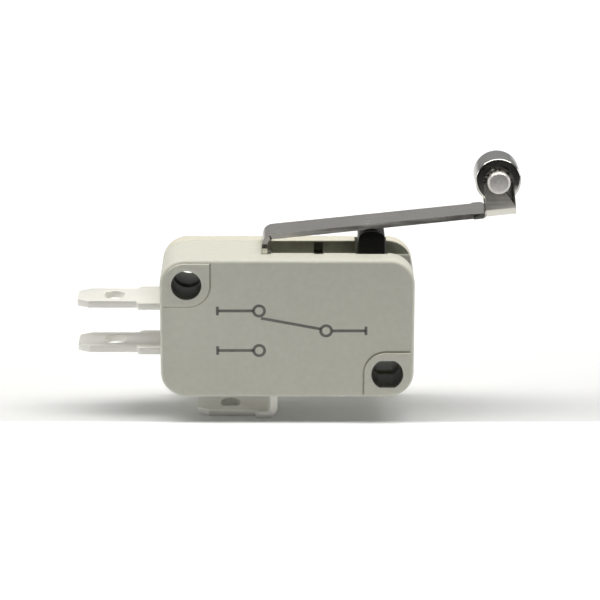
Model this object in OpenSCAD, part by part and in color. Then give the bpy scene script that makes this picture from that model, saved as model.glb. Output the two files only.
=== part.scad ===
// Basic snap-action switch with a long roller lever, its terminals and its mechanism.
// Origin: axis of the round mounting hole, at half the thickness of the case.
// +X runs towards the roller, -Y is the front face with the raised pads, +Z is up.

/* [Case] */
// Length of the case
case_len = 28.1; // [27.8:0.1:31]
// Height of the case
case_h = 15.9; // [15.7:0.1:17]
// Thickness of the case over its raised pads
case_t = 10.3; // [10.2:0.1:12]
// Radius of the corners of the outline
corner_r = 2.85; // [2:0.05:2.9]
// Rounding of the outer edges
edge_r = 0.4; // [0.2:0.05:0.6]
// Rounding of the edges along the seam
seam_r = 0.12; // [0.05:0.01:0.2]
// Thickness of the side walls
wall_t = 1.4; // [1.2:0.05:1.5]
// Thickness of the front wall
face_t = 1.3; // [1:0.05:1.5]
// Thickness of the cover
cover_t = 2.2; // [1.8:0.05:2.3]

/* [Mounting holes] */
// Diameter of the round hole
hole_d = 3.35; // [3:0.05:3.5]
// Diameter of the flat-sided hole
flat_hole_d = 3.55; // [3.3:0.05:3.6]
// Distance between the flats of that hole
flat_hole_h = 3.14; // [2.9:0.02:3.2]
// Distance from a hole to the nearer end of the case
hole_end = 2.95; // [2.9:0.05:3.2]
// Distance from a hole to the nearer long side of the case
hole_side = 2.8; // [2.7:0.05:3]
// Length of a raised pad
pad_len = 5.05; // [4.6:0.05:5.1]
// Height of a raised pad
pad_wid = 4.85; // [4.6:0.05:4.9]
// How far a pad stands out of the front face
pad_rise = 0.3; // [0.1:0.05:0.4]
// Radius of the two rounded corners of a pad
pad_r = 2.35; // [1.5:0.05:2.4]
// Wall of the tubes that stand inside the case
tube_wall = 0.9; // [0.7:0.02:0.92]
// Length of those tubes from the face of the pads
tube_len = 4.7; // [4:0.1:5.2]
// Wall of the cover's hollow spigots
spigot_wall = 0.55; // [0.45:0.05:0.6]
// Space left between tube and spigot
spigot_gap = 1.2; // [0.5:0.1:1.6]

/* [Lever slot] */
// Width of the slot in the top of the case
slot_w = 4.9; // [4.6:0.05:5.2]
// Depth of the slot
slot_depth = 1.55; // [1.5:0.05:1.8]
// Thickness of the wall under the slot
ceiling_t = 1.2; // [0.9:0.05:1.3]
// Width of a pocket for the ears of the lever
pocket_w = 1.05; // [1:0.01:1.2]
// Depth of the pockets in the front wall
pocket_depth = 0.5; // [0.45:0.05:0.8]
// Depth of the sockets in the cover
socket_depth = 1.4; // [0.8:0.05:1.5]
// Distance of the spare pocket from the first one
pocket_pitch = 5.8; // [4:0.1:7]
// Wall left over the closed socket of the cover
pocket_lip = 0.2; // [0.1:0.05:0.4]
// Room on each side of the plunger in its own pockets
plunger_side = 0.3; // [0.1:0.05:0.5]
// Depth of the plunger's pocket in the front wall
plunger_pocket = 0.35; // [0.2:0.05:0.6]
// Length of the groove that the plunger slides down in the cover
groove_len = 3.4; // [3.3:0.1:4]

/* [Lever] */
// Distance of the lever's pivot from the round hole
pivot_x = 8.6; // [7:0.1:10]
// Depth of the pivot under the top of the case
pivot_depth = 1.2; // [1:0.05:1.2]
// Rise of the free lever, in degrees
lever_rise = 6.1; // [5:0.1:7]
// Thickness of the lever sheet
lever_t = 0.6; // [0.4:0.05:0.6]
// Width of the strip
lever_w = 4.2; // [3.6:0.05:4.3]
// Height of the strip's underside over the pivot
strip_rise = 2.56; // [2.3:0.02:3]
// Inner radius of the bend
bend_r = 0.65; // [0.2:0.05:0.8]
// How far an ear stands out of the leg
ear_out = 0.75; // [0.4:0.05:0.8]
// Height of an ear over the pivot
ear_rise = 1.85; // [1.2:0.05:1.9]
// Distance from the pivot to the roller pin, along the strip
pin_reach = 26.55; // [24:0.05:30]
// Height of the roller pin over the strip
pin_rise = 3.44; // [3:0.02:4]
// Width of a fork cheek
cheek_w = 3.3; // [3:0.05:3.8]
// Outer radius of the fork's folds
fold_r = 1; // [0.7:0.05:1.2]
// Width of the relief cut beside the folds
relief_w = 0.32; // [0.2:0.02:0.5]
// Length of the strip that widens before the fork
flare_len = 1.1; // [0.6:0.1:2]
// How much narrower that part is than the fork, on each side
flare_in = 0.25; // [0.1:0.05:0.4]

/* [Roller] */
// Diameter of the roller
roller_d = 5.05; // [4.6:0.05:5.6]
// Width of the roller
roller_w = 4; // [3.4:0.05:4.2]
// Rounding of the roller's rims
roller_rim = 0.25; // [0.1:0.05:0.5]
// Clearance of the roller on its pin
roller_play = 0.1; // [0.06:0.01:0.1]
// How far the roller hangs under the pin's axis
roller_drop = 0.08; // [0:0.01:0.08]
// Diameter of the roller pin
pin_d = 1.6; // [1.2:0.05:1.8]
// Diameter of the pin's heads
pin_head_d = 2.5; // [2.2:0.05:2.8]
// Height of the pin's heads
pin_head_h = 0.7; // [0.4:0.05:1]

/* [Plunger] */
// Distance of the plunger from the flat-sided hole, back along the case
plunger_set = 1.77; // [1.6:0.01:2.2]
// Width of the plunger
plunger_w = 2.95; // [2.6:0.05:3.2]
// How far the plunger stands into the walls beside the slot
plunger_out = 0.15; // [0.05:0.05:0.2]
// Height of the plunger's arched top
crown_h = 0.98; // [0.6:0.02:1.4]
// Width of the collar that keeps the plunger in
collar_w = 4.2; // [3.8:0.1:4.4]
// Thickness of that collar
collar_t = 0.9; // [0.6:0.05:1.2]
// Diameter of the plunger's foot
foot_d = 2.4; // [1.8:0.1:2.6]

/* [Terminals] */
// Thickness of the terminals
tab_t = 0.8; // [0.6:0.05:0.8]
// Width of the connecting tabs
tab_w = 4.75; // [4.4:0.05:4.8]
// Width of the shoulders next to the case
shoulder_w = 6.3; // [5.6:0.05:6.4]
// Length of the two side tabs outside the case
tab_len = 9.3; // [8:0.1:12]
// Length of their shoulders outside the case
shoulder_len = 2.75; // [1.5:0.05:3.5]
// Length of the chamfers at the tips
tip_len = 1.3; // [0.8:0.05:1.6]
// Width of the chamfers at the tips
tip_wid = 0.85; // [0.4:0.05:1.2]
// Length of the chamfers from the shoulders to the tabs
shoulder_step = 0.3; // [0.1:0.05:0.8]
// Width of the side terminals inside the case
inner_w = 4.15; // [3.4:0.05:4.4]
// Reach of the side terminals past their contacts
inner_past = 2; // [1.4:0.1:2.4]
// Width of the holes in the tabs, along the tab
tab_hole_w = 2.2; // [1.6:0.05:2.4]
// Length of the holes in the tabs, across the tab
tab_hole_l = 2.9; // [2.5:0.05:3.1]
// Distance from the tip to the hole on the side tabs
tab_hole_end = 4.05; // [3.2:0.05:4.6]
// Level of the upper tab's top face under the round hole
nc_drop = 2.65; // [2.64:0.01:2.8]
// Distance between the two side tabs
tab_pitch = 5.2; // [5.1:0.05:5.6]
// Distance of the common terminal from the round hole
com_x = 9.6; // [9:0.1:10.5]
// Gap between the case and the common tab
com_drop = 2.3; // [1.8:0.05:3]
// Length of the common tab from the far side of its riser
com_len = 9; // [8:0.1:9.4]
// Length of the common tab's wide part
com_shoulder_len = 2.55; // [2:0.05:3.5]
// Distance from the tip to the hole on the common tab
com_hole_end = 3.7; // [3:0.05:4.4]
// Inner radius of the common terminal's bend
com_bend_r = 0.5; // [0.3:0.05:0.8]

/* [Contacts] */
// Distance of the contacts from the round hole
contact_x = 2; // [1.5:0.1:2.6]
// Diameter of the contact heads
contact_d = 2.3; // [1.8:0.05:2.5]
// Height of the upper fixed contact
nc_contact_h = 0.7; // [0.5:0.05:0.8]
// Height of each head of the moving contact
moving_head_h = 0.72; // [0.5:0.02:0.8]
// Opening between the moving contact and the lower fixed one
contact_gap = 0.98; // [0.8:0.02:1.2]
// Diameter of the contact shanks
shank_d = 1.2; // [0.8:0.05:1.4]
// Bevel of the contact heads
contact_bevel = 0.15; // [0.05:0.05:0.3]

/* [Snap mechanism] */
// Thickness of the contact arm
arm_t = 0.35; // [0.25:0.05:0.4]
// Width of the contact arm
arm_w = 3.2; // [3:0.05:3.4]
// Distance from the plunger back to the contact arm's pivot
arm_set = 3.83; // [3.7:0.01:4.2]
// Depth of the contact arm's pivot under the round hole
arm_drop = 5.4; // [5.3:0.05:5.6]
// Radius of the arm's rolled end
arm_roll_r = 0.35; // [0.3:0.01:0.35]
// Width of the window in the arm
window_w = 1.9; // [1.8:0.05:2]
// Distance from the arm's pivot to that window
window_end = 1.4; // [1:0.1:2]
// Width of the slot between the prongs that carry the arm
prong_gap = 1.4; // [1:0.05:1.6]
// Depth of that slot under the arm's pivot
prong_len = 3; // [2:0.1:4]
// How far the prongs end under the arm's pivot
prong_drop = 0.25; // [0.2:0.01:0.3]
// Distance from the contacts to the spring's hook in the arm
hook_set = 3.3; // [2.8:0.1:4]
// Distance from that hook to the window
hook_web = 0.8; // [0.6:0.05:1.2]
// Sheet thickness of the actuating lever
yoke_t = 0.4; // [0.3:0.05:0.45]
// Room between the contact arm and each rail of the actuating lever
yoke_side = 0.3; // [0.2:0.05:0.4]
// Radius of the actuating lever's eyes
eye_r = 0.85; // [0.7:0.05:1]
// How far the pivot's ends stand out of those eyes
post_past = 0.1; // [0.05:0.05:0.2]
// Height of the actuating lever's pivot over the case floor
yoke_pivot_rise = 3.5; // [3:0.05:3.6]
// Height of the actuating lever's plate over its pivot
yoke_rise = 3.8; // [3.6:0.05:4]
// Width of the rails where they leave the eyes
rail_w = 0.6; // [0.5:0.05:0.7]
// Reach of that plate before the plunger
plate_before = 1.6; // [1.3:0.05:1.7]
// Reach of that plate past the plunger
plate_past = 0.8; // [0.6:0.05:0.9]
// Height of the plate's side flanges
plate_flange = 0.6; // [0.5:0.05:0.8]
// Distance from the plate back to its spring hook
yoke_hook = 0.45; // [0.4:0.05:0.6]
// Width of the tongue with that hook
tongue_w = 1.4; // [1:0.1:1.8]
// Wire diameter of the snap spring
wire_d = 0.3; // [0.2:0.02:0.34]
// Outer diameter of the snap spring
coil_d = 1.5; // [1.2:0.05:1.6]
// Number of turns of the snap spring
coil_turns = 10; // [6:1:14]
// Length of one turn of the snap spring
coil_pitch = 0.55; // [0.4:0.05:0.55]
// Distance from the spring's hook in the arm to its first turn
coil_set = 1.6; // [1:0.1:2]
// Height of the spring's wire over the arm
wire_over_arm = 0.4; // [0.3:0.05:0.6]
// Height of the spring's wire over the actuating lever's plate
wire_over_plate = 0.3; // [0.25:0.05:0.5]
// Length of the spring's hooks
wire_hook = 1.1; // [0.8:0.1:1.3]
// Radius of the bends of those hooks
wire_bend = 0.25; // [0.2:0.05:0.35]
// Play of the hooks in their holes
hook_play = 0.2; // [0.1:0.05:0.3]

/* [Fits] */
// Clearance of parts that slide or turn in each other
run_gap = 0.06; // [0.04:0.01:0.08]
// Clearance of parts that are set into each other
set_gap = 0.05; // [0.02:0.01:0.08]
// Gap between parts that press on each other
touch_gap = 0.05; // [0.04:0.01:0.08]
// Clearance of riveted pins and shanks in their holes
rivet_gap = 0.02; // [0.01:0.01:0.05]

/* [Hidden] */
$fn = 72;
// Overrun of cutting shapes past the face they cut
cut = 1;
// Overlap of shapes that grow into one piece
join = 0.2;

// Box of the case
x_left = -hole_end;
x_right = case_len - hole_end;
z_top = hole_side;
z_bottom = hole_side - case_h;
y_pads = -case_t / 2;
y_face = y_pads + pad_rise;
y_back = case_t / 2;
y_seam = y_back - cover_t;

// Flat-sided mounting hole
far_x = case_len - 2 * hole_end;
far_z = 2 * hole_side - case_h;
plunger_x = far_x - plunger_set;

// Cavity
cavity_left = x_left + wall_t;
cavity_right = x_right - wall_t;
cavity_floor = z_bottom + wall_t;
slot_floor = z_top - slot_depth;
cavity_top = slot_floor - ceiling_t;
cavity_front = y_face + face_t;
tube_end = y_pads + tube_len;
spigot_start = tube_end + spigot_gap;

// Slot and lever
slot_front = y_seam - slot_w;
slot_y = y_seam - slot_w / 2;
pivot_z = z_top - pivot_depth;
plunger_pocket_x = plunger_x - plunger_w / 2 - plunger_side;
plunger_pocket_w = plunger_w + 2 * plunger_side;
leg_half = lever_t / 2;
pocket_x = pivot_x - leg_half - set_gap;
leg_bend_x = leg_half + bend_r;
under_at_0 = strip_rise / cos(lever_rise);
bend_z = under_at_0 + leg_bend_x * tan(lever_rise) - bend_r / cos(lever_rise);
fork_in = roller_w + 2 * run_gap;
fork_out = fork_in + 2 * lever_t;
fork_start = pin_reach - cheek_w / 2;
pin_up = strip_rise + lever_t + pin_rise;

// Underside of the free lever over the plunger
lever_under_plunger = pivot_z + under_at_0 + (plunger_x - pivot_x) * tan(lever_rise);
plunger_top = lever_under_plunger - touch_gap;
plunger_front = slot_front - plunger_out;
plunger_back = y_seam + plunger_out;

// Terminals and contacts
nc_z = -nc_drop - tab_t;
no_z = nc_z - tab_pitch;
tab_tip = x_left - tab_len;
nc_contact_z = nc_z - nc_contact_h;
moving_h = 2 * moving_head_h + arm_t;
moving_z = nc_contact_z - touch_gap - moving_h / 2;
no_contact_z = moving_z - moving_h / 2 - contact_gap;
com_z = z_bottom - com_drop - tab_t;

// Snap mechanism
arm_x = plunger_x - arm_set;
arm_z = -arm_drop;
arm_len = arm_x - contact_x;
arm_tilt = asin((moving_z - arm_z) / arm_len);
yoke_x = com_x;
yoke_z = cavity_floor + yoke_pivot_rise;
post_half = arm_w / 2;
yoke_in = arm_w / 2 + yoke_side;
yoke_out = yoke_in + yoke_t;
plate_z = yoke_z + yoke_rise;
plate_start = plunger_x - plate_before;
plate_end = plunger_x + plate_past;
hook_hole_r = wire_d / 2 + hook_play;
arm_hook_x = contact_x + hook_set;
yoke_hook_x = plate_start - yoke_hook;

// Profile of one rounded edge, from the middle out to a half width
module edge_profile(half, y0, y1, front_r, back_r) {
    translate([0, y0]) square([half - front_r, front_r]);
    translate([0, y0 + front_r]) square([half, y1 - y0 - front_r - back_r]);
    translate([0, y1 - back_r]) square([half - back_r, back_r]);
    translate([half - front_r, y0 + front_r]) circle(front_r);
    translate([half - back_r, y1 - back_r]) circle(back_r);
}

module full_profile(half, y0, y1, front_r, back_r) {
    edge_profile(half, y0, y1, front_r, back_r);
    mirror([1, 0]) edge_profile(half, y0, y1, front_r, back_r);
}

// Slab in the outline of the case, with rounded edges at its front and back
module outline_slab(y0, y1, front_r, back_r) {
    mid_x = (x_left + x_right) / 2;
    mid_z = (z_bottom + z_top) / 2;
    for (x = [x_left + corner_r, x_right - corner_r])
        for (z = [z_bottom + corner_r, z_top - corner_r])
            translate([x, 0, z])
                rotate([-90, 0, 0])
                    rotate_extrude() edge_profile(corner_r, y0, y1, front_r, back_r);
    translate([mid_x, 0, z_bottom + corner_r])
        linear_extrude(case_h - 2 * corner_r)
            full_profile(case_len / 2, y0, y1, front_r, back_r);
    translate([x_left + corner_r, 0, mid_z])
        rotate([0, 90, 0])
            linear_extrude(case_len - 2 * corner_r)
                full_profile(case_h / 2, y0, y1, front_r, back_r);
}

// Box given by its two corners
module span(a, b) {
    translate(a) cube(b - a);
}

// Cylinder along +Y between two levels
module y_rod(x, z, r, y0, y1) {
    translate([x, y0, z]) rotate([-90, 0, 0]) cylinder(h = y1 - y0, r = r);
}

// Outline in the XZ plane, extruded along Y
module y_plate(y0, y1) {
    translate([0, y1, 0]) rotate([90, 0, 0]) linear_extrude(y1 - y0) children();
}

module round_hole(y0, y1) {
    y_rod(0, 0, hole_d / 2, y0, y1);
}

module flat_sided_hole(y0, y1) {
    intersection() {
        y_rod(far_x, far_z, flat_hole_d / 2, y0, y1);
        span([far_x - flat_hole_d, y0, far_z - flat_hole_h / 2],
            [far_x + flat_hole_d, y1, far_z + flat_hole_h / 2]);
    }
}

// Raised pad: two opposite corners are rounded, the other two are sharp
module pad() {
    w = pad_len / 2;
    h = pad_wid / 2;
    y_plate(y_pads, y_face + cut) {
        translate([-w, -h]) square([pad_len - pad_r, pad_wid - pad_r]);
        translate([pad_r - w, pad_r - h]) square([pad_len - pad_r, pad_wid - pad_r]);
        translate([w - pad_r, pad_r - h]) circle(pad_r);
        translate([pad_r - w, h - pad_r]) circle(pad_r);
    }
}

// Inside of the case, less the tubes round the mounting holes
module cavity() {
    difference() {
        span([cavity_left, cavity_front, cavity_floor], [cavity_right, y_seam + cut, cavity_top]);
        y_rod(0, 0, hole_d / 2 + tube_wall, y_face, tube_end);
        y_rod(far_x, far_z, flat_hole_d / 2 + tube_wall, y_face, tube_end);
    }
    y_rod(0, 0, hole_d / 2 + spigot_wall + set_gap, tube_end, y_seam + cut);
    y_rod(far_x, far_z, flat_hole_d / 2 + spigot_wall + set_gap, tube_end, y_seam + cut);
}

// Pocket for a lever ear, seen from above as a notch in the slot's side
module pocket(x, w, y0, y1, z1) {
    span([x, y0, slot_floor], [x + w, y1, z1]);
}

module slot_cut() {
    span([pocket_x, slot_front, slot_floor], [x_right + cut, y_seam + cut, z_top + cut]);
    for (x = [pocket_x, pocket_x + pocket_pitch])
        pocket(x, pocket_w, slot_front - pocket_depth, slot_front + cut, z_top + cut);
    pocket(plunger_pocket_x, plunger_pocket_w, slot_front - plunger_pocket,
        slot_front + cut, z_top + cut);
}

// Opening that a terminal passes through, left open towards the cover
module side_tab_cut(z) {
    span([x_left - cut, -shoulder_w / 2 - set_gap, z - set_gap],
        [cavity_left + cut, y_seam + cut, z + tab_t + set_gap]);
}

module com_cut() {
    span([com_x - tab_t / 2 - set_gap, -shoulder_w / 2 - set_gap, z_bottom - cut],
        [com_x + tab_t / 2 + set_gap, y_seam + cut, cavity_floor + cut]);
}

module case() {
    color([0.88, 0.86, 0.78])
        difference() {
            union() {
                difference() {
                    outline_slab(y_face, y_seam, edge_r, seam_r);
                    cavity();
                    slot_cut();
                }
                pad();
                translate([far_x, 0, far_z]) pad();
            }
            round_hole(y_pads - cut, y_seam + cut);
            flat_sided_hole(y_pads - cut, y_seam + cut);
            side_tab_cut(nc_z);
            side_tab_cut(no_z);
            com_cut();
            span([plunger_x - plunger_w / 2 - run_gap, plunger_front - run_gap, cavity_top - cut],
                [plunger_x + plunger_w / 2 + run_gap, y_seam + cut, slot_floor + cut]);
        }
}

// Recess in the cover for a terminal shoulder that is wider than the cavity
module shoulder_recess(x0, x1, z0, z1) {
    span([x0, y_seam - cut, z0], [x1, shoulder_w / 2 + set_gap, z1]);
}

module cover() {
    color([0.87, 0.85, 0.77])
        difference() {
            union() {
                outline_slab(y_seam, y_back, seam_r, edge_r);
                y_rod(0, 0, hole_d / 2 + spigot_wall, spigot_start, y_seam + seam_r);
                y_rod(far_x, far_z, flat_hole_d / 2 + spigot_wall, spigot_start, y_seam + seam_r);
            }
            round_hole(spigot_start - cut, y_back + cut);
            flat_sided_hole(spigot_start - cut, y_back + cut);
            for (z = [nc_z, no_z])
                shoulder_recess(x_left - cut, cavity_left + join, z - set_gap, z + tab_t + set_gap);
            shoulder_recess(com_x - tab_t / 2 - set_gap, com_x + tab_t / 2 + set_gap,
                z_bottom - cut, cavity_floor + join);
            pocket(pocket_x, pocket_w, y_seam - cut, y_seam + socket_depth, z_top + cut);
            pocket(pocket_x + pocket_pitch, pocket_w, y_seam - cut, y_seam + socket_depth,
                z_top - pocket_lip);
            span([plunger_pocket_x, y_seam - cut, cavity_top - groove_len],
                [plunger_pocket_x + plunger_pocket_w, y_seam + socket_depth, z_top + cut]);
        }
}

// Arch in the XZ plane, as wide as the plunger, from its springing line up
module plunger_arch(top) {
    polygon([for (a = [0:7.5:180])
        [plunger_w / 2 * cos(a), top - crown_h + crown_h * sin(a)]]);
}

// Plunger: arched blade in the slot, collar under the wall and foot on the actuating lever
module plunger() {
    collar_top = cavity_top - touch_gap;
    foot_z = plate_z + touch_gap;
    color([0.06, 0.06, 0.06])
        translate([plunger_x, 0, 0]) {
            y_plate(plunger_front, plunger_back) {
                plunger_arch(plunger_top);
                translate([-plunger_w / 2, collar_top - collar_t])
                    square([plunger_w, plunger_top - crown_h - collar_top + collar_t]);
            }
            span([-collar_w / 2, slot_y - collar_w / 2, collar_top - collar_t],
                [collar_w / 2, slot_y + collar_w / 2, collar_top]);
            translate([0, slot_y, foot_z + foot_d / 2]) {
                sphere(foot_d / 2);
                cylinder(h = collar_top - foot_z - (foot_d + collar_t) / 2, r = foot_d / 2);
            }
        }
}

// Side view of the lever's leg, bend and strip, measured from the pivot
module lever_side() {
    outer_r = bend_r + lever_t;
    circle(leg_half);
    translate([-leg_half, 0]) square([lever_t, bend_z]);
    translate([leg_bend_x, bend_z])
        intersection() {
            difference() {
                circle(outer_r);
                circle(bend_r);
            }
            rotate(90 + lever_rise) square(2 * outer_r);
            translate([-2 * outer_r, 0]) square(2 * outer_r);
        }
    translate([leg_bend_x, bend_z])
        rotate(lever_rise)
            translate([0, bend_r]) square([fork_start - relief_w - leg_bend_x, lever_t]);
}

// Fork cheek: square at the fold, rounded over the pin
module cheek(y0) {
    y_plate(y0, y0 + lever_t)
        translate([pin_reach, 0]) {
            translate([-cheek_w / 2, strip_rise + fold_r])
                square([cheek_w, pin_up - strip_rise - fold_r]);
            translate([0, pin_up]) circle(cheek_w / 2);
        }
}

// Base of the fork: a channel with rounded folds
module fork_base() {
    w = fork_out / 2;
    inner_r = fold_r - lever_t;
    translate([fork_start, 0, strip_rise])
        rotate([90, 0, 90])
            linear_extrude(cheek_w) {
                translate([fold_r - w, 0]) square([fork_out - 2 * fold_r, lever_t]);
                for (side = [0, 1])
                    mirror([side, 0])
                        translate([w - fold_r, fold_r])
                            intersection() {
                                difference() {
                                    circle(fold_r);
                                    circle(inner_r);
                                }
                                translate([0, -fold_r]) square(fold_r);
                            }
            }
}

module lever() {
    flare_start = fork_start - relief_w - flare_len;
    color([0.72, 0.71, 0.66])
        translate([pivot_x, slot_y, pivot_z]) {
            y_plate(-lever_w / 2, lever_w / 2) lever_side();
            y_plate(-lever_w / 2 - ear_out, lever_w / 2 + ear_out) {
                circle(leg_half);
                translate([-leg_half, 0]) square([lever_t, ear_rise]);
            }
            rotate([0, -lever_rise, 0])
                difference() {
                    union() {
                        fork_base();
                        cheek(-fork_out / 2);
                        cheek(fork_in / 2);
                        span([flare_start, -fork_out / 2 + flare_in, strip_rise],
                            [fork_start - relief_w, fork_out / 2 - flare_in, strip_rise + lever_t]);
                        span([flare_start, fold_r - fork_out / 2, strip_rise],
                            [fork_start + join, fork_out / 2 - fold_r, strip_rise + lever_t]);
                    }
                    y_rod(pin_reach, pin_up, pin_d / 2 + rivet_gap, -fork_out, fork_out);
                }
        }
}

// Places a part on the roller pin's axis, or a little under it
module at_pin(drop = 0) {
    translate([pivot_x, slot_y, pivot_z])
        rotate([0, -lever_rise, 0])
            translate([pin_reach, 0, pin_up - drop])
                rotate([-90, 0, 0])
                    children();
}

module roller() {
    rim = roller_rim;
    core_w = roller_w - 2 * rim;
    color([0.68, 0.68, 0.66])
        at_pin(roller_drop)
            difference() {
                union() {
                    translate([0, 0, -roller_w / 2]) cylinder(h = roller_w, r = roller_d / 2 - rim);
                    translate([0, 0, -core_w / 2]) cylinder(h = core_w, r = roller_d / 2);
                    for (z = [-core_w / 2, core_w / 2])
                        translate([0, 0, z])
                            rotate_extrude()
                                translate([roller_d / 2 - rim, 0]) circle(rim);
                }
                translate([0, 0, -roller_w]) cylinder(h = 2 * roller_w, r = pin_d / 2 + roller_play);
            }
}

module roller_pin() {
    bevel = pin_head_h / 3;
    color([0.75, 0.74, 0.72])
        at_pin() {
            translate([0, 0, -fork_out / 2 - pin_head_h / 2])
                cylinder(h = fork_out + pin_head_h, r = pin_d / 2);
            for (side = [0, 1])
                mirror([0, 0, side])
                    translate([0, 0, fork_out / 2]) {
                        cylinder(h = pin_head_h - bevel, r = pin_head_d / 2);
                        translate([0, 0, pin_head_h - bevel])
                            cylinder(h = bevel, r1 = pin_head_d / 2, r2 = pin_head_d / 2 - bevel);
                    }
        }
}

// Tab seen from above: shoulder at x = 0, chamfered tip towards +x
module tab_top(len, wide_len, hole_end) {
    difference() {
        polygon([
            [0, -shoulder_w / 2],
            [wide_len - shoulder_step, -shoulder_w / 2],
            [wide_len, -tab_w / 2],
            [len - tip_len, -tab_w / 2],
            [len, -tab_w / 2 + tip_wid],
            [len, tab_w / 2 - tip_wid],
            [len - tip_len, tab_w / 2],
            [wide_len, tab_w / 2],
            [wide_len - shoulder_step, shoulder_w / 2],
            [0, shoulder_w / 2]
        ]);
        translate([len - hole_end, 0]) {
            rest = (tab_hole_l - tab_hole_w) / 2;
            for (y = [-rest, rest])
                translate([0, y]) circle(tab_hole_w / 2);
            square([tab_hole_w, 2 * rest], center = true);
        }
    }
}

// Flat terminal that leaves the end of the case; its inner end carries a contact
module side_terminal(z) {
    translate([0, 0, z])
        difference() {
            union() {
                translate([cavity_left, 0, 0])
                    mirror([1, 0, 0])
                        linear_extrude(tab_t)
                            tab_top(tab_len + wall_t, shoulder_len + wall_t, tab_hole_end);
                span([cavity_left - join, -inner_w / 2, 0], [contact_x + inner_past, inner_w / 2, tab_t]);
            }
            translate([contact_x, 0, -cut])
                cylinder(h = tab_t + 2 * cut, r = shank_d / 2 + rivet_gap);
        }
}

module nc_terminal() {
    color([0.8, 0.79, 0.75]) side_terminal(nc_z);
}

module no_terminal() {
    color([0.8, 0.79, 0.75]) side_terminal(no_z);
}

// Side view of the common terminal's outer bend
module com_bend() {
    outer_r = com_bend_r + tab_t;
    x = com_x + tab_t / 2 - outer_r;
    translate([x, com_z + outer_r])
        intersection() {
            difference() {
                circle(outer_r);
                circle(com_bend_r);
            }
            translate([0, -outer_r]) square(outer_r);
        }
    translate([x - join, com_z]) square([join, tab_t]);
    translate([com_x - tab_t / 2, com_z + outer_r])
        square([tab_t, cavity_floor - com_z - outer_r]);
}

// Common terminal: outer tab, riser, pivot post of the yoke, strap and forked arm post
module com_terminal() {
    left = com_x - tab_t / 2;
    outer_r = com_bend_r + tab_t;
    bend_start = com_x + tab_t / 2 - outer_r;
    strap_top = cavity_floor + set_gap + tab_t;
    tip = com_x + tab_t / 2 - com_len;
    color([0.8, 0.79, 0.75]) {
        translate([bend_start, 0, com_z])
            mirror([1, 0, 0])
                linear_extrude(tab_t)
                    tab_top(bend_start - tip, com_shoulder_len - outer_r, com_hole_end);
        y_plate(-shoulder_w / 2, shoulder_w / 2) com_bend();
        span([left, -post_half, cavity_floor - join], [left + tab_t, post_half, yoke_z]);
        y_rod(yoke_x, yoke_z, tab_t / 2, -yoke_out - post_past, yoke_out + post_past);
        span([left, -post_half, cavity_floor + set_gap], [arm_x + tab_t / 2, post_half, strap_top]);
        difference() {
            span([arm_x - tab_t / 2, -post_half, cavity_floor + set_gap],
                [arm_x + tab_t / 2, post_half, arm_z - prong_drop]);
            span([arm_x - cut, -prong_gap / 2, arm_z - prong_len],
                [arm_x + cut, prong_gap / 2, arm_z]);
            y_rod(arm_x, arm_z, arm_roll_r + run_gap, -arm_w, arm_w);
        }
    }
}

// Fixed contact rivet; side is 1 for a head under its terminal, 0 for one on top
module fixed_contact(z, height, side) {
    translate([contact_x, 0, z])
        mirror([0, 0, side]) {
            bevel = contact_bevel;
            cylinder(h = height - bevel, r = contact_d / 2);
            translate([0, 0, height - bevel])
                cylinder(h = bevel, r1 = contact_d / 2, r2 = contact_d / 2 - bevel);
            translate([0, 0, -tab_t]) cylinder(h = tab_t + height / 2, r = shank_d / 2);
        }
}

module nc_contact() {
    color([0.86, 0.85, 0.82]) fixed_contact(nc_z, nc_contact_h, 1);
}

module no_contact() {
    color([0.86, 0.85, 0.82]) fixed_contact(no_z + tab_t, no_contact_z - no_z - tab_t, 0);
}

// Places a part in the frame of the contact arm
module on_arm() {
    translate([arm_x, 0, arm_z]) rotate([0, arm_tilt, 0]) children();
}

module contact_arm() {
    color([0.8, 0.6, 0.35])
        on_arm()
            difference() {
                union() {
                    y_rod(0, 0, arm_roll_r, -arm_w / 2, arm_w / 2);
                    span([-arm_len - contact_d / 2, -arm_w / 2, -arm_t / 2],
                        [0, arm_w / 2, arm_t / 2]);
                }
                span([arm_hook_x + hook_web - arm_x, -window_w / 2, -cut],
                    [-window_end, window_w / 2, cut]);
                translate([arm_hook_x - arm_x, 0, -cut]) cylinder(h = 2 * cut, r = hook_hole_r);
                translate([-arm_len, 0, -cut]) cylinder(h = 2 * cut, r = shank_d / 2 + rivet_gap);
            }
}

module moving_contact() {
    bevel = contact_bevel;
    color([0.86, 0.85, 0.82])
        on_arm()
            translate([-arm_len, 0, 0]) {
                for (side = [0, 1])
                    mirror([0, 0, side])
                        translate([0, 0, arm_t / 2]) {
                            cylinder(h = moving_head_h - bevel, r = contact_d / 2);
                            translate([0, 0, moving_head_h - bevel])
                                cylinder(h = bevel, r1 = contact_d / 2, r2 = contact_d / 2 - bevel);
                        }
                cylinder(h = arm_t + join, r = shank_d / 2, center = true);
            }
}

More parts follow.
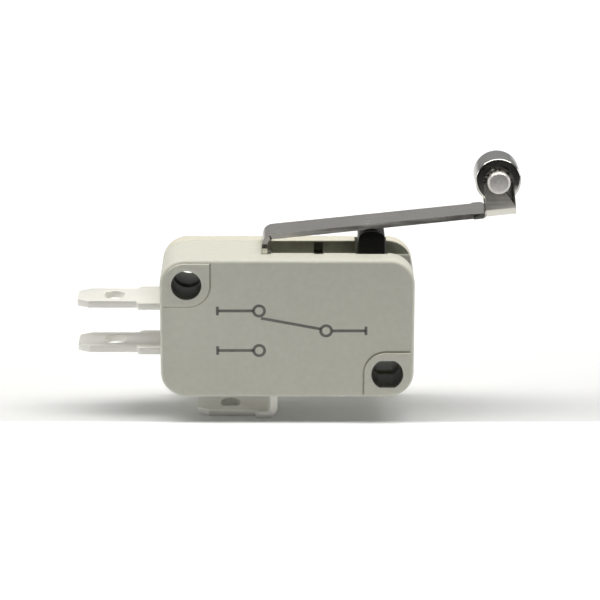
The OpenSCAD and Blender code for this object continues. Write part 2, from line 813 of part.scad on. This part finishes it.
// Yoke that the plunger presses: two rails from its pivot to a plate under the foot
module actuating_lever() {
    reach = plate_start - yoke_x;
    far = plate_end - yoke_x;
    color([0.78, 0.77, 0.72])
        difference() {
            translate([yoke_x, 0, yoke_z]) {
                for (y = [-yoke_out, yoke_in])
                    y_plate(y, y + yoke_t) {
                        circle(eye_r);
                        polygon([
                            [-rail_w / 2, rail_w],
                            [rail_w / 2, -rail_w],
                            [reach + rail_w, yoke_rise - plate_flange],
                            [far, yoke_rise - plate_flange],
                            [far, yoke_rise],
                            [reach, yoke_rise]
                        ]);
                    }
                span([reach, -yoke_out, yoke_rise - yoke_t], [far, yoke_out, yoke_rise]);
                span([reach - 2 * yoke_hook, -tongue_w / 2, yoke_rise - yoke_t],
                    [reach + join, tongue_w / 2, yoke_rise]);
            }
            y_rod(yoke_x, yoke_z, tab_t / 2 + run_gap, -yoke_out - cut, yoke_out + cut);
            translate([yoke_hook_x, 0, plate_z - cut]) cylinder(h = 2 * cut, r = hook_hole_r);
        }
}

// Snap spring: straight end wires hooked into the arm and the yoke, close coils between
coil_r = (coil_d - wire_d) / 2;
coil_start = arm_hook_x + coil_set;
coil_end = coil_start + coil_pitch * coil_turns;
wire_z0 = moving_z + arm_t / 2 + wire_over_arm;
wire_z1 = plate_z + wire_over_plate;
steps_per_turn = 12;
coil_steps = coil_turns * steps_per_turn;

function wire_z(x) = wire_z0 + (wire_z1 - wire_z0) * (x - arm_hook_x) / (yoke_hook_x - arm_hook_x);
function coil_point(i) =
    let (
        x = coil_start + (coil_end - coil_start) * i / coil_steps,
        a = 360 * i / steps_per_turn,
        r = coil_r * min(1, i / 6, (coil_steps - i) / 6)
    ) [x, r * sin(a), wire_z(x) + r * cos(a)];
wire_path = concat(
    [
        [arm_hook_x, 0, wire_z0 - wire_hook],
        [arm_hook_x, 0, wire_z0 - wire_bend],
        [arm_hook_x + wire_bend, 0, wire_z(arm_hook_x + wire_bend)]
    ],
    [for (i = [0:coil_steps]) coil_point(i)],
    [
        [yoke_hook_x - wire_bend, 0, wire_z(yoke_hook_x - wire_bend)],
        [yoke_hook_x, 0, wire_z1 - wire_bend],
        [yoke_hook_x, 0, wire_z1 - wire_hook]
    ]
);

function unit(v) = v / norm(v);

// Tube of a given radius along a list of points
module wire_tube(path, r, sides) {
    n = len(path);
    rings = [
        for (i = [0:n - 1])
            let (
                t = unit(path[min(i + 1, n - 1)] - path[max(i - 1, 0)]),
                u = unit(cross(t, [0.1, 1, 0.05])),
                v = cross(t, u)
            )
            for (k = [0:sides - 1]) path[i] + r * (cos(360 * k / sides) * u + sin(360 * k / sides) * v)
    ];
    walls = [
        for (i = [0:n - 2])
            for (k = [0:sides - 1])
                let (a = i * sides + k, b = i * sides + (k + 1) % sides)
                for (face = [[a, b, b + sides], [a, b + sides, a + sides]]) face
    ];
    first = [for (k = [sides - 1:-1:0]) k];
    last = [for (k = [0:sides - 1]) (n - 1) * sides + k];
    polyhedron(rings, concat([first, last], walls), convexity = 10);
}

module snap_spring() {
    color([0.6, 0.6, 0.6]) wire_tube(wire_path, wire_d / 2, 6);
}

case();
cover();
plunger();
lever();
roller();
roller_pin();
nc_terminal();
no_terminal();
com_terminal();
nc_contact();
no_contact();
contact_arm();
moving_contact();
actuating_lever();
snap_spring();
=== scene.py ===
"""Looks of a snap-action switch with a long roller lever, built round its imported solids."""

import math

import bmesh
import bpy
from mathutils import Matrix, Vector


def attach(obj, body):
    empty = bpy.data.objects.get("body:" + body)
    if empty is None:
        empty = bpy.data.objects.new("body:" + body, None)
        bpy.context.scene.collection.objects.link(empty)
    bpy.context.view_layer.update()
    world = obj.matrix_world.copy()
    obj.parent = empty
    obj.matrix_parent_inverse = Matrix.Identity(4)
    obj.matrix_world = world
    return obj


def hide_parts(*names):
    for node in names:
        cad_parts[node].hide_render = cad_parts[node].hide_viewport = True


MM = 0.001
FLOOR_Z = -16.2 * MM
CASE_FRONT_Y = -4.85 * MM
SHEET_FRONT_Y = -75 * MM
CASE_MIDDLE = Vector((11.1 * MM, 0, -5.15 * MM))
HOLE_CENTRES = ((0.0, 0.0), (22.2 * MM, -10.3 * MM))
HOLE_REACH = 1.85 * MM
SOCKET_BOX = ((8.2, 22.3), (3.0, 4.5), (-3.5, 2.7))
SLOT_FLOOR_Z = -5 * MM

CAMERA_PLACE = (11.54 * MM, -296.74 * MM, 90.92 * MM)
CAMERA_TURN, CAMERA_TILT, CAMERA_ROLL = -0.19, 72.39, 0.09
CAMERA_LENS, CAMERA_SENSOR = 166.92, 36

WELD = 1e-7
FLAT_DEGREES = 0.6
SMOOTH_DEGREES = 28

INK_Y = CASE_FRONT_Y - 0.015 * MM
INK_WIDTH = 0.32
RING_RADIUS = 0.6
RING_STEPS = 40
TICK = 0.5
# where and how wide the painted shadow strips at the pads' feet lie
SHADOW_STRIP_Y = CASE_FRONT_Y - 0.02 * MM
SHADOW_STRIP_WIDTH = 0.2 * MM
FRONT_PLAY = 0.02 * MM

LEVEL_ABOVE, LEVEL_BEHIND, LEVEL_AROUND = 0.16, 0.30, 0.006

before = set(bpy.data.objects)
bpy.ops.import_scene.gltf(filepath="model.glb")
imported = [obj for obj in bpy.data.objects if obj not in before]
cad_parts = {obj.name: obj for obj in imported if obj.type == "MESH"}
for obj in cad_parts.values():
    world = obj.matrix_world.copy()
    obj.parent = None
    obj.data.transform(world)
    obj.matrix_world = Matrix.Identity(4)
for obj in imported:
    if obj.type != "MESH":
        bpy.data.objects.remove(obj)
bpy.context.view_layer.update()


# ---------------------------------------------------------------- camera


def make_camera():
    """Long lens a little above the switch, square to its front."""
    data = bpy.data.cameras.new("camera")
    data.sensor_width = CAMERA_SENSOR
    data.lens = CAMERA_LENS
    camera = bpy.data.objects.new("camera", data)
    bpy.context.scene.collection.objects.link(camera)
    camera.matrix_world = (
        Matrix.Translation(CAMERA_PLACE)
        @ Matrix.Rotation(math.radians(CAMERA_TURN), 4, "Z")
        @ Matrix.Rotation(math.radians(CAMERA_TILT), 4, "X")
        @ Matrix.Rotation(math.radians(CAMERA_ROLL), 4, "Z")
    )
    bpy.context.scene.camera = camera


# ---------------------------------------------------------------- node helpers


def link(tree, source, target):
    tree.links.new(source, target)


def node(tree, kind, **settings):
    made = tree.nodes.new(kind)
    for name, value in settings.items():
        setattr(made, name, value)
    return made


def math_node(tree, operation, a, b=None, clamp=False):
    """A Math node; a and b are sockets or numbers."""
    made = node(tree, "ShaderNodeMath", operation=operation, use_clamp=clamp)
    for index, value in enumerate((a, b)):
        if value is None:
            continue
        if isinstance(value, (int, float)):
            made.inputs[index].default_value = value
        else:
            link(tree, value, made.inputs[index])
    return made.outputs[0]


def multiply(tree, a, b):
    return math_node(tree, "MULTIPLY", a, b)


def add(tree, a, b, clamp=False):
    return math_node(tree, "ADD", a, b, clamp)


def subtract(tree, a, b):
    return math_node(tree, "SUBTRACT", a, b)


def larger(tree, a, b):
    return math_node(tree, "MAXIMUM", a, b)


def mix_colour(tree, factor, a, b, blend="MIX"):
    """A colour Mix node; every argument is a socket, a number or a colour."""
    made = node(tree, "ShaderNodeMix", data_type="RGBA", blend_type=blend)
    for index, value in ((0, factor), (6, a), (7, b)):
        if hasattr(value, "links"):
            link(tree, value, made.inputs[index])
        elif isinstance(value, (int, float)):
            made.inputs[index].default_value = value
        else:
            made.inputs[index].default_value = (*value, 1)
    return made.outputs[2]


def map_range(tree, value, low, high, to_low=0.0, to_high=1.0):
    made = node(tree, "ShaderNodeMapRange")
    link(tree, value, made.inputs[0])
    for index, number in enumerate((low, high, to_low, to_high), start=1):
        made.inputs[index].default_value = number
    return made.outputs[0]


def noise(tree, scale, detail=3.0, roughness=0.55, stretch=(1, 1, 1), seed=0.0):
    """Noise in the object's own metres; stretch squeezes it along an axis."""
    coordinates = node(tree, "ShaderNodeTexCoord")
    mapping = node(tree, "ShaderNodeMapping")
    mapping.inputs["Scale"].default_value = stretch
    mapping.inputs["Location"].default_value = (seed, seed * 0.7, -seed)
    link(tree, coordinates.outputs["Object"], mapping.inputs["Vector"])
    texture = node(tree, "ShaderNodeTexNoise")
    texture.inputs["Scale"].default_value = scale
    texture.inputs["Detail"].default_value = detail
    texture.inputs["Roughness"].default_value = roughness
    link(tree, mapping.outputs[0], texture.inputs["Vector"])
    return texture.outputs["Fac"]


def new_group(name, inputs, outputs):
    """A shader node group with float or colour inputs and outputs."""
    group = bpy.data.node_groups.new(name, "ShaderNodeTree")
    for label, kind, default in inputs:
        socket = group.interface.new_socket(label, in_out="INPUT", socket_type=kind)
        socket.default_value = default
    for label, kind in outputs:
        group.interface.new_socket(label, in_out="OUTPUT", socket_type=kind)
    return group, group.nodes.new("NodeGroupInput"), group.nodes.new("NodeGroupOutput")


FLOAT = "NodeSocketFloat"


def moulded_grain_group():
    """Fine spark-eroded grain, slow sink waves and rubbed spots of moulded plastic."""
    group, given, out = new_group(
        "moulded_grain",
        [("Grain", FLOAT, 0.5), ("Rub", FLOAT, 0.5)],
        [("Tone", FLOAT), ("Roughness Shift", FLOAT), ("Height", FLOAT)],
    )
    fine = noise(group, 9000, 2.0, 0.6)
    medium = noise(group, 1400, 3.0, 0.55, seed=3.1)
    broad = noise(group, 140, 2.0, 0.5, seed=7.7)
    grain = multiply(group, fine, given.outputs["Grain"])
    height = add(group, grain, multiply(group, medium, 0.25))
    height = add(group, height, multiply(group, broad, 0.6))
    rubbed = map_range(group, noise(group, 420, 4.0, 0.65, seed=12.4), 0.56, 0.74)
    rubbed = multiply(group, rubbed, given.outputs["Rub"])
    tone = subtract(group, map_range(group, medium, 0.3, 0.7, 0.0, 1.0), rubbed)
    link(group, tone, out.inputs["Tone"])
    shift = multiply(group, subtract(group, broad, 0.5), 0.25)
    shift = subtract(group, shift, multiply(group, rubbed, 0.12))
    link(group, shift, out.inputs["Roughness Shift"])
    link(group, height, out.inputs["Height"])
    return group


def brushed_metal_group():
    """Rolling lines, handling smudges and small pits of sheet metal."""
    group, given, out = new_group(
        "brushed_metal",
        [("Lines", FLOAT, 0.5), ("Smudge", FLOAT, 0.5), ("Pits", FLOAT, 0.3)],
        [("Tone", FLOAT), ("Roughness Shift", FLOAT), ("Height", FLOAT)],
    )
    lines = noise(group, 700, 3.0, 0.7, stretch=(0.12, 3.0, 3.0), seed=1.9)
    smudge = noise(group, 260, 4.0, 0.62, seed=5.3)
    pits = map_range(group, noise(group, 3200, 2.0, 0.5, seed=9.2), 0.66, 0.8)
    line_part = multiply(group, subtract(group, lines, 0.5), given.outputs["Lines"])
    smudge_part = multiply(group, subtract(group, smudge, 0.5), given.outputs["Smudge"])
    pit_part = multiply(group, pits, given.outputs["Pits"])
    tone = add(group, add(group, line_part, smudge_part), 0.5)
    link(group, subtract(group, tone, pit_part), out.inputs["Tone"])
    shift = add(group, multiply(group, smudge_part, 0.5), multiply(group, line_part, 0.35))
    link(group, add(group, shift, multiply(group, pit_part, 0.3)), out.inputs["Roughness Shift"])
    link(group, subtract(group, multiply(group, line_part, 0.5), pit_part), out.inputs["Height"])
    return group


def new_material(name):
    """An empty material with its Principled shader ready."""
    material = bpy.data.materials.new(name)
    material.use_nodes = True
    tree = material.node_tree
    return material, tree, tree.nodes["Principled BSDF"]


def place_group(tree, group, **values):
    made = node(tree, "ShaderNodeGroup", node_tree=group)
    for label, value in values.items():
        made.inputs[label].default_value = value
    return made


def bump(tree, shader, height, distance, strength=1.0):
    made = node(tree, "ShaderNodeBump")
    made.inputs["Strength"].default_value = strength
    made.inputs["Distance"].default_value = distance
    link(tree, height, made.inputs["Height"])
    link(tree, made.outputs[0], shader.inputs["Normal"])


def moulded_plastic(name, light, dark, roughness, grain, rub, height):
    """Satin moulded plastic whose tone drifts between two close colours."""
    material, tree, shader = new_material(name)
    grained = place_group(tree, GRAIN, Grain=grain, Rub=rub)
    link(tree, mix_colour(tree, grained.outputs["Tone"], dark, light), shader.inputs["Base Color"])
    rough = add(tree, grained.outputs["Roughness Shift"], roughness, clamp=True)
    link(tree, rough, shader.inputs["Roughness"])
    bump(tree, shader, grained.outputs["Height"], height)
    return material


def sheet_metal(name, light, dark, roughness, lines, smudge, pits, height, metallic=1.0):
    """Rolled sheet metal with brushed lines, smudges and pits."""
    material, tree, shader = new_material(name)
    shader.inputs["Metallic"].default_value = metallic
    worn = place_group(tree, METAL, Lines=lines, Smudge=smudge, Pits=pits)
    link(tree, mix_colour(tree, worn.outputs["Tone"], dark, light), shader.inputs["Base Color"])
    rough = add(tree, worn.outputs["Roughness Shift"], roughness, clamp=True)
    link(tree, rough, shader.inputs["Roughness"])
    bump(tree, shader, worn.outputs["Height"], height)
    return material


# ---------------------------------------------------------------- dressed pieces


def in_bore(centre, normal):
    """True on the walls of the mounting holes."""
    near = any(math.hypot(centre.x - x, centre.z - z) < HOLE_REACH for x, z in HOLE_CENTRES)
    return near and abs(normal.y) < 0.5


def in_socket(centre, normal):
    """True inside the cover's sockets for the lever's ears and the plunger."""
    return all(low * MM < value < high * MM for value, (low, high) in zip(centre, SOCKET_BOX))


def in_slot(centre, normal):
    """True on the cover's wall behind the lever slot."""
    return normal.y < -0.7 and centre.z > SLOT_FLOOR_Z


def shade_inside(piece, material, *tests):
    """Gives the walls that pass one of the tests a darker moulding of their own, as painted shade."""
    piece.data.materials.append(material)
    for polygon in piece.data.polygons:
        if any(test(polygon.center, polygon.normal) for test in tests):
            polygon.material_index = len(piece.data.materials) - 1


def dressed(name, body, material, bevel=0.0, angle=32, segments=2):
    """A clean copy of a solid with small rounded edges and smooth shading."""
    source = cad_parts[name]
    mesh = bmesh.new()
    mesh.from_mesh(source.data)
    bmesh.ops.remove_doubles(mesh, verts=mesh.verts, dist=WELD)
    bmesh.ops.dissolve_limit(
        mesh, angle_limit=math.radians(FLAT_DEGREES), verts=mesh.verts, edges=mesh.edges
    )
    data = bpy.data.meshes.new(name + "_finish")
    mesh.to_mesh(data)
    mesh.free()
    piece = bpy.data.objects.new(name + "_finish", data)
    bpy.context.scene.collection.objects.link(piece)
    data.materials.clear()
    data.materials.append(material)
    for polygon in data.polygons:
        polygon.material_index = 0
    if bevel:
        rounding = piece.modifiers.new("edges", "BEVEL")
        rounding.width = bevel
        rounding.segments = segments
        rounding.limit_method = "ANGLE"
        rounding.angle_limit = math.radians(angle)
        rounding.harden_normals = False
    triangles = piece.modifiers.new("triangles", "TRIANGULATE")
    triangles.min_vertices = 5
    apply_modifiers(piece)
    smooth_by_angle(piece.data, SMOOTH_DEGREES)
    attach(piece, body)
    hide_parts(name)
    return piece


def apply_modifiers(piece):
    depsgraph = bpy.context.evaluated_depsgraph_get()
    done = bpy.data.meshes.new_from_object(piece.evaluated_get(depsgraph))
    piece.modifiers.clear()
    piece.data = done


def smooth_by_angle(data, degrees):
    """Smooth shading with the sharp edges kept."""
    data.shade_smooth()
    mesh = bmesh.new()
    mesh.from_mesh(data)
    limit = math.radians(degrees)
    for edge in mesh.edges:
        edge.smooth = len(edge.link_faces) == 2 and edge.calc_face_angle(0) < limit
    mesh.to_mesh(data)
    mesh.free()


GRAIN = moulded_grain_group()
METAL = brushed_metal_group()


def cream_moulding(name, light, dark):
    return moulded_plastic(name, light, dark, roughness=0.46, grain=0.5, rub=0.25, height=0.00002)


def black_moulding():
    material = moulded_plastic(
        "black_plunger_moulding", (0.005, 0.0045, 0.004), (0.002, 0.002, 0.002),
        roughness=0.34, grain=0.3, rub=0.4, height=0.000008,
    )
    material.node_tree.nodes["Principled BSDF"].inputs["Specular IOR Level"].default_value = 0.15
    return material


def nickel_steel():
    return sheet_metal(
        "nickel_plated_steel", (0.80, 0.78, 0.72), (0.60, 0.58, 0.53),
        roughness=0.2, lines=0.6, smudge=0.5, pits=0.25, height=0.000006,
    )


def roller_steel():
    return sheet_metal(
        "turned_roller_steel", (0.78, 0.77, 0.73), (0.52, 0.51, 0.48),
        roughness=0.12, lines=0.4, smudge=0.5, pits=0.4, height=0.000006,
    )


def pin_steel():
    return sheet_metal(
        "tumbled_pin_steel", (0.95, 0.93, 0.90), (0.54, 0.52, 0.51),
        roughness=0.42, lines=0.2, smudge=1.6, pits=0.9, height=0.00004, metallic=0.6,
    )


def tinned_brass():
    return sheet_metal(
        "tinned_brass", (0.97, 0.96, 0.91), (0.86, 0.85, 0.80),
        roughness=0.36, lines=0.35, smudge=0.55, pits=0.25, height=0.000012, metallic=0.2,
    )


def silver_contact():
    return sheet_metal(
        "silver_contact", (0.92, 0.91, 0.88), (0.72, 0.70, 0.66),
        roughness=0.28, lines=0.2, smudge=0.7, pits=0.4, height=0.00001,
    )


def bronze_arm():
    return sheet_metal(
        "bronze_arm", (0.82, 0.55, 0.26), (0.55, 0.33, 0.14),
        roughness=0.25, lines=0.6, smudge=0.5, pits=0.3, height=0.00001,
    )


def spring_steel():
    return sheet_metal(
        "spring_wire", (0.62, 0.62, 0.60), (0.40, 0.40, 0.39),
        roughness=0.24, lines=0.6, smudge=0.4, pits=0.3, height=0.00001,
    )


def marking_ink():
    return moulded_plastic(
        "grey_marking_ink", (0.17, 0.17, 0.155), (0.22, 0.22, 0.20),
        roughness=0.6, grain=0.6, rub=0.6, height=0.000004,
    )


# ---------------------------------------------------------------- flat marks on the case front


def ink_point(mesh, x, z):
    return mesh.verts.new((x * MM, INK_Y, z * MM))


def ink_stroke(mesh, a, b):
    """A flat stroke on the case front from a to b, in millimetres."""
    start, end = Vector(a), Vector(b)
    along = (end - start).normalized()
    across = Vector((-along.y, along.x)) * INK_WIDTH / 2
    corners = (start - across, end - across, end + across, start + across)
    mesh.faces.new([ink_point(mesh, corner.x, corner.y) for corner in corners])


def ink_ring(mesh, x, z):
    """A flat ring on the case front round x and z, in millimetres."""
    turns = [2 * math.pi * step / RING_STEPS for step in range(RING_STEPS)]
    inner, outer = [
        [ink_point(mesh, x + size * math.cos(turn), z + size * math.sin(turn)) for turn in turns]
        for size in (RING_RADIUS - INK_WIDTH / 2, RING_RADIUS + INK_WIDTH / 2)
    ]
    for i in range(RING_STEPS):
        j = (i + 1) % RING_STEPS
        mesh.faces.new((inner[i], inner[j], outer[j], outer[i]))


def contact_diagram():
    """Plain changeover symbol on the front: two fixed contacts, a blade and the common line."""
    mesh = bmesh.new()
    tail_x, fixed_x, common_x, far_x, common_z = 3.4, 8.0, 15.4, 19.8, -5.3
    for z in (-3.0, -7.6):
        ink_ring(mesh, fixed_x, z)
        ink_stroke(mesh, (tail_x, z), (fixed_x - RING_RADIUS, z))
        ink_stroke(mesh, (tail_x, z - TICK), (tail_x, z + TICK))
    ink_ring(mesh, common_x, common_z)
    ink_stroke(mesh, (8.2, -3.85), (14.85, -5.1))
    ink_stroke(mesh, (common_x + RING_RADIUS, common_z), (far_x, common_z))
    ink_stroke(mesh, (far_x, common_z - TICK), (far_x, common_z + TICK))
    flat_mark("contact_diagram", mesh, marking_ink())


def flat_mark(name, mesh, material):
    """Links a thin flat shape that rides the case."""
    data = bpy.data.meshes.new(name)
    bmesh.ops.recalc_face_normals(mesh, faces=mesh.faces)
    for face in mesh.faces:
        if face.normal.y > 0:
            face.normal_flip()
    mesh.to_mesh(data)
    mesh.free()
    data.materials.append(material)
    piece = bpy.data.objects.new(name, data)
    bpy.context.scene.collection.objects.link(piece)
    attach(piece, "case")


def pad_shadow_strips():
    """Painted shadow: a thin dark strip on the case front along the foot of each mounting pad, where the pad
    rises from it.
    """
    source = bmesh.new()
    source.from_mesh(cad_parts["case"].data)
    bmesh.ops.remove_doubles(source, verts=source.verts, dist=WELD)
    painted_strips = bmesh.new()
    for face in source.faces:
        centre = face.calc_center_median()
        inward = (CASE_MIDDLE - centre).dot(face.normal) > 0
        raised = max(vert.co.y for vert in face.verts) < CASE_FRONT_Y + FRONT_PLAY
        upright = abs(face.normal.y) <= 0.1
        foot = [vert.co for vert in face.verts if vert.co.y > CASE_FRONT_Y - FRONT_PLAY]
        if not (upright and inward and raised) or in_bore(centre, face.normal) or len(foot) != 2:
            continue
        out = face.normal * SHADOW_STRIP_WIDTH
        points = (foot[0], foot[1], foot[1] + out, foot[0] + out)
        corners = [Vector((point.x, SHADOW_STRIP_Y, point.z)) for point in points]
        painted_strips.faces.new([painted_strips.verts.new(corner) for corner in corners])
    source.free()
    # painted shadow: darker cream for the strips at the pads' feet
    shadow_cream = cream_moulding("pad_foot_painted_shadow", (0.44, 0.43, 0.36), (0.36, 0.35, 0.29))
    flat_mark("pad_shadow_strips", painted_strips, shadow_cream)


# ---------------------------------------------------------------- the switch


def dress_the_switch():
    cream = cream_moulding("case_moulding", (0.69, 0.69, 0.61), (0.65, 0.65, 0.57))
    cover_cream = cream_moulding("cover_moulding", (0.735, 0.715, 0.61), (0.69, 0.665, 0.56))
    tinned = tinned_brass()
    silver = silver_contact()
    # painted shade: a darker copy of the cream for the walls inside the mounting holes and the cover's
    # sockets
    shaded = cream_moulding("bore_and_socket_painted_shade", (0.26, 0.265, 0.225), (0.20, 0.205, 0.17))
    shade_inside(dressed("case", "case", cream, bevel=0.07 * MM, angle=40), shaded, in_bore)
    cover = dressed("cover", "case", cover_cream, bevel=0.07 * MM, angle=40)
    # painted shade: the cover's wall behind the lever slot gets a darker cream, for the shade under the lever
    shade_inside(cover, cream_moulding("slot_wall_painted_shade", (0.40, 0.41, 0.34), (0.34, 0.35, 0.29)), in_slot)
    shade_inside(cover, shaded, in_bore, in_socket)
    contact_diagram()
    pad_shadow_strips()
    dressed("plunger", "plunger", black_moulding(), bevel=0.18 * MM, angle=50, segments=3)
    dressed("lever", "lever", nickel_steel(), bevel=0.09 * MM, angle=40, segments=3)
    dressed("roller", "roller", roller_steel())
    dressed("roller_pin", "lever", pin_steel(), bevel=0.06 * MM, angle=25)
    for name in ("nc_terminal", "no_terminal", "com_terminal"):
        dressed(name, "case", tinned, bevel=0.07 * MM, angle=30, segments=3)
    for name in ("nc_contact", "no_contact"):
        dressed(name, "case", silver)
    dressed("moving_contact", "contact_arm", silver)
    dressed("contact_arm", "contact_arm", bronze_arm(), bevel=0.03 * MM)
    dressed("actuating_lever", "actuating_lever", tinned, bevel=0.04 * MM)
    wire = spring_steel()
    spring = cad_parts["snap_spring"]
    spring.data.materials.clear()
    spring.data.materials.append(wire)


# ---------------------------------------------------------------- floor, world and lamps


def make_floor():
    """White sheet under the switch; it keeps the shadow and ends a little before it. Its colour and glow also
    carry painted light.
    """
    data = bpy.data.meshes.new("white_sheet")
    side, front = 900 * MM, SHEET_FRONT_Y * 4
    corners = [(-side, front, FLOOR_Z), (side, front, FLOOR_Z), (side, side, FLOOR_Z), (-side, side, FLOOR_Z)]
    data.from_pydata(corners, [], [(0, 1, 2, 3)])
    floor = bpy.data.objects.new("white_sheet", data)
    bpy.context.scene.collection.objects.link(floor)
    material, tree, shader = new_material("white_sheet")
    shader.inputs["Roughness"].default_value = 0.6
    place = node(tree, "ShaderNodeSeparateXYZ")
    link(tree, node(tree, "ShaderNodeNewGeometry").outputs["Position"], place.inputs[0])
    # painted fall-off of the light: the sheet turns a little greyer to the right
    rightwards = map_range(tree, place.outputs["X"], 15 * MM, 75 * MM)
    path = node(tree, "ShaderNodeLightPath")
    # painted reflection: to glossy rays the sheet goes near black far in front, so metal faces mirror a dark
    # front
    far_front = map_range(tree, place.outputs["Y"], SHEET_FRONT_Y + 14 * MM, SHEET_FRONT_Y)
    dark = multiply(tree, far_front, path.outputs["Is Glossy Ray"])
    white = mix_colour(tree, rightwards, (0.85, 0.86, 0.875), (0.80, 0.81, 0.835))
    link(tree, mix_colour(tree, dark, white, (0.012, 0.012, 0.012)), shader.inputs["Base Color"])
    # painted light: a glow seen only by the camera, strong just in front of the switch so the shadow ends
    # with a sharp front edge, and rising behind it
    before_switch = map_range(tree, place.outputs["Y"], -4.0 * MM, -5.2 * MM, 0.0, 0.6)
    behind_switch = map_range(tree, place.outputs["Y"], 4 * MM, 50 * MM, 0.0, 0.22)
    far_behind = map_range(tree, place.outputs["Y"], 50 * MM, 400 * MM, 0.0, 0.8)
    painted_glow_level = add(tree, add(tree, before_switch, behind_switch), far_behind)
    seen = multiply(tree, path.outputs["Is Camera Ray"], painted_glow_level)
    # painted light in reflections, except far in front
    mirrored = multiply(tree, path.outputs["Is Glossy Ray"], 0.02)
    mirrored = multiply(tree, mirrored, subtract(tree, 1.0, far_front))
    glow = add(tree, seen, mirrored)
    shader.inputs["Emission Color"].default_value = (1, 1, 1, 1)
    link(tree, glow, shader.inputs["Emission Strength"])
    data.materials.append(material)


def make_world():
    """White to the camera; for reflections and light it is bright above and behind, dark in front."""
    world = bpy.data.worlds.new("studio")
    bpy.context.scene.world = world
    world.use_nodes = True
    tree = world.node_tree
    background = tree.nodes["Background"]
    coordinates = node(tree, "ShaderNodeTexCoord")
    split = node(tree, "ShaderNodeSeparateXYZ")
    link(tree, coordinates.outputs["Generated"], split.inputs[0])
    up = map_range(tree, split.outputs["Z"], 0.1, 0.9, 0.0, 1.0)
    behind = map_range(tree, split.outputs["Y"], -0.2, 0.8, 0.0, 1.0)
    level = add(tree, multiply(tree, up, LEVEL_ABOVE), multiply(tree, behind, LEVEL_BEHIND))
    level = add(tree, level, LEVEL_AROUND)
    path = node(tree, "ShaderNodeLightPath")
    strength = larger(tree, level, path.outputs["Is Camera Ray"])
    background.inputs["Color"].default_value = (1, 1, 1, 1)
    link(tree, strength, background.inputs["Strength"])


def softbox(name, place, target, width, height, power, colour=(1, 1, 1)):
    data = bpy.data.lights.new(name, "AREA")
    data.shape = "RECTANGLE"
    data.size, data.size_y = width * MM, height * MM
    data.energy = power
    data.color = colour
    lamp = bpy.data.objects.new(name, data)
    bpy.context.scene.collection.objects.link(lamp)
    lamp.location = Vector(place) * MM
    lamp.rotation_euler = (Vector(target) * MM - lamp.location).to_track_quat("-Z", "Y").to_euler()


def make_lamps():
    warm = (1, 0.98, 0.925)
    softbox("overhead_softbox", (10, -4, 320), (10, 0, -5), width=640, height=100, power=1.56, colour=warm)
    for name, x in (("left_softbox", -330), ("right_softbox", 350)):
        softbox(name, (x, 30, 60), (10, 0, 0), width=160, height=120, power=0.18)


make_camera()
dress_the_switch()
make_floor()
make_world()
make_lamps()
view = bpy.context.scene.view_settings
view.view_transform = "Standard"
